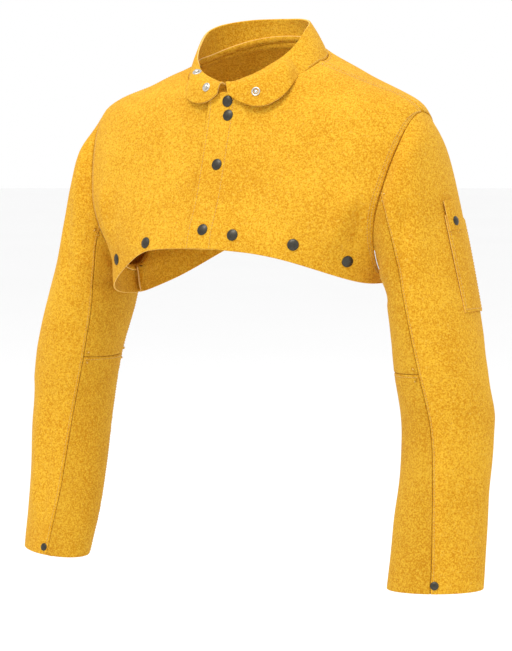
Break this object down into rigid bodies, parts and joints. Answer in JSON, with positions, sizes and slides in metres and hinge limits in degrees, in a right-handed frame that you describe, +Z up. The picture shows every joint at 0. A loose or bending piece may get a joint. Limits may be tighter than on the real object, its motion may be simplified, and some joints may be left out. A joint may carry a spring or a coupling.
{
  "type": "leather welding jacket",
  "caption": "Cropped split-leather welding jacket with stand collar, snap placket, hem snaps for a bib, two-piece sleeves with elbow seams and a pen pocket.",
  "frame": {"origin": "middle of the neck opening, level with the sides of the neck seam", "axes": "+Z up, the wearer faces -Y, the wearer's left is +X"},
  "size_m": [0.7242, 0.2622, 0.7424],
  "materials": {
    "leather": "matt golden split cowhide",
    "leather_under": "matt split cowhide, a little darker and smoother",
    "snap_cap": "dark gunmetal, satin",
    "snap_metal": "nickel plated"
  },
  "bodies": {
    "torso": {"back_panel": "leather", "right_front_panel": "leather", "left_front_panel": "leather", "placket_facing": "leather_under", "collar_band": "leather", "placket_snap_stud_1": "snap_metal", "placket_snap_stud_2": "snap_metal", "placket_snap_stud_3": "snap_metal", "placket_snap_stud_4": "snap_metal", "hem_snap_cap_right_outer": "snap_cap", "hem_snap_socket_right_outer": "snap_metal", "hem_snap_cap_right_inner": "snap_cap", "hem_snap_socket_right_inner": "snap_metal", "hem_snap_cap_left_middle": "snap_cap", "hem_snap_socket_left_middle": "snap_metal", "hem_snap_cap_left_outer": "snap_cap", "hem_snap_socket_left_outer": "snap_metal"},
    "left_front": {"left_front_flap": "leather", "placket_snap_cap_1": "snap_cap", "placket_snap_cap_2": "snap_cap", "placket_snap_cap_3": "snap_cap", "placket_snap_cap_4": "snap_cap", "placket_snap_socket_1": "snap_metal", "placket_snap_socket_2": "snap_metal", "placket_snap_socket_3": "snap_metal", "placket_snap_socket_4": "snap_metal", "hem_snap_cap_left_inner": "snap_cap", "hem_snap_socket_left_inner": "snap_metal"},
    "collar_tab_left": {"collar_left_tab": "leather", "collar_left_socket": "snap_metal"},
    "collar_tab_right": {"collar_right_tab": "leather", "collar_right_stud_front": "snap_metal", "collar_right_stud_side": "snap_metal"},
    "left_upper_sleeve": {"left_sleeve_outer_upper": "leather", "left_sleeve_under_upper": "leather_under", "pen_pocket": "leather"},
    "left_forearm": {"left_sleeve_outer_lower": "leather", "left_sleeve_under_lower": "leather_under", "left_cuff_snap_cap": "snap_cap", "left_cuff_snap_socket": "snap_metal"},
    "right_upper_sleeve": {"right_sleeve_outer_upper": "leather", "right_sleeve_under_upper": "leather_under"},
    "right_forearm": {"right_sleeve_outer_lower": "leather", "right_sleeve_under_lower": "leather_under", "right_cuff_snap_cap": "snap_cap", "right_cuff_snap_socket": "snap_metal"},
    "pocket_tab": {"pen_pocket_tab": "leather", "pen_pocket_snap_cap": "snap_cap"}
  },
  "joints": [
    {"name": "left_front_opening", "type": "hinge", "parent": "torso", "child": "left_front", "pos_m": [0.077, -0.1075, -0.144], "axis": [-0.1312, 0.3017, 0.9443], "range_deg": [0, 75]},
    {"name": "collar_tab_left_swing", "type": "hinge", "parent": "torso", "child": "collar_tab_left", "pos_m": [0.079, -0.0385, -0.0055], "axis": [-0.6117, 0.1271, 0.7808], "range_deg": [0, 60]},
    {"name": "collar_tab_right_swing", "type": "hinge", "parent": "torso", "child": "collar_tab_right", "pos_m": [-0.0685, -0.0595, -0.017], "axis": [-0.5203, -0.1671, -0.8375], "range_deg": [0, 75]},
    {"name": "left_shoulder", "type": "hinge", "parent": "torso", "child": "left_upper_sleeve", "pos_m": [0.2505, 0, -0.066], "axis": [0, -1, 0], "range_deg": [0, 60]},
    {"name": "right_shoulder", "type": "hinge", "parent": "torso", "child": "right_upper_sleeve", "pos_m": [-0.2505, 0, -0.066], "axis": [0, 1, 0], "range_deg": [0, 60]},
    {"name": "left_elbow", "type": "hinge", "parent": "left_upper_sleeve", "child": "left_forearm", "pos_m": [0.2895, -0.0845, -0.399], "axis": [-0.9986, -0.017, -0.051], "range_deg": [0, 75]},
    {"name": "right_elbow", "type": "hinge", "parent": "right_upper_sleeve", "child": "right_forearm", "pos_m": [-0.2895, -0.0845, -0.4059], "axis": [-0.9986, 0.017, 0.051], "range_deg": [0, 75]},
    {"name": "pocket_tab_lift", "type": "hinge", "parent": "left_upper_sleeve", "child": "pocket_tab", "pos_m": [0.2976, -0.0075, -0.1805], "axis": [0, -1, 0], "range_deg": [0, 100]}
  ],
  "couplings": [
    {"joint": "collar_tab_left_swing", "follows": "left_front_opening", "ratio": 0.8},
    {"joint": "collar_tab_right_swing", "follows": "left_front_opening", "ratio": 1}
  ]
}
